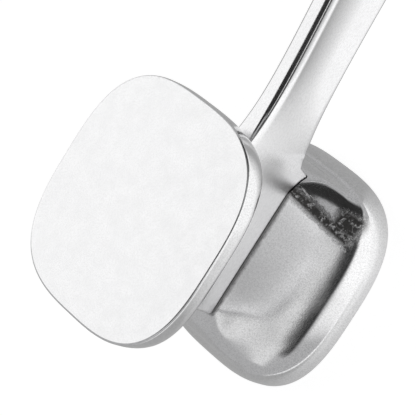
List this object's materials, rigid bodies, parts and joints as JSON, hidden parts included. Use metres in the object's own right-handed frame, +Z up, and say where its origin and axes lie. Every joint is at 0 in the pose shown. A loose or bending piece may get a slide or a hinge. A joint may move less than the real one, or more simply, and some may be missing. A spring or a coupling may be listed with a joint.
{
  "type": "meat tenderizer",
  "caption": "Two-faced cast aluminium kitchen mallet: flat smooth face, pyramid-toothed face, slim fluted handle with a hanging hole.",
  "frame": {"origin": "under the middle of the whole tool, on the surface it stands on, toothed face down", "axes": "+Z up through the smooth face, +Y along the handle away from the head, +X to the side"},
  "size_m": [0.058, 0.2188, 0.0668],
  "materials": {
    "polished_aluminium": "polished cast aluminium",
    "satin_aluminium": "tumbled cast aluminium with a ground face",
    "bright_steel": "ground steel"
  },
  "bodies": {
    "root": {"handle": "polished_aluminium", "smooth_face_block": "satin_aluminium", "toothed_face_block": "satin_aluminium", "upper_tie_pin": "bright_steel", "lower_tie_pin": "bright_steel"}
  },
  "joints": []
}
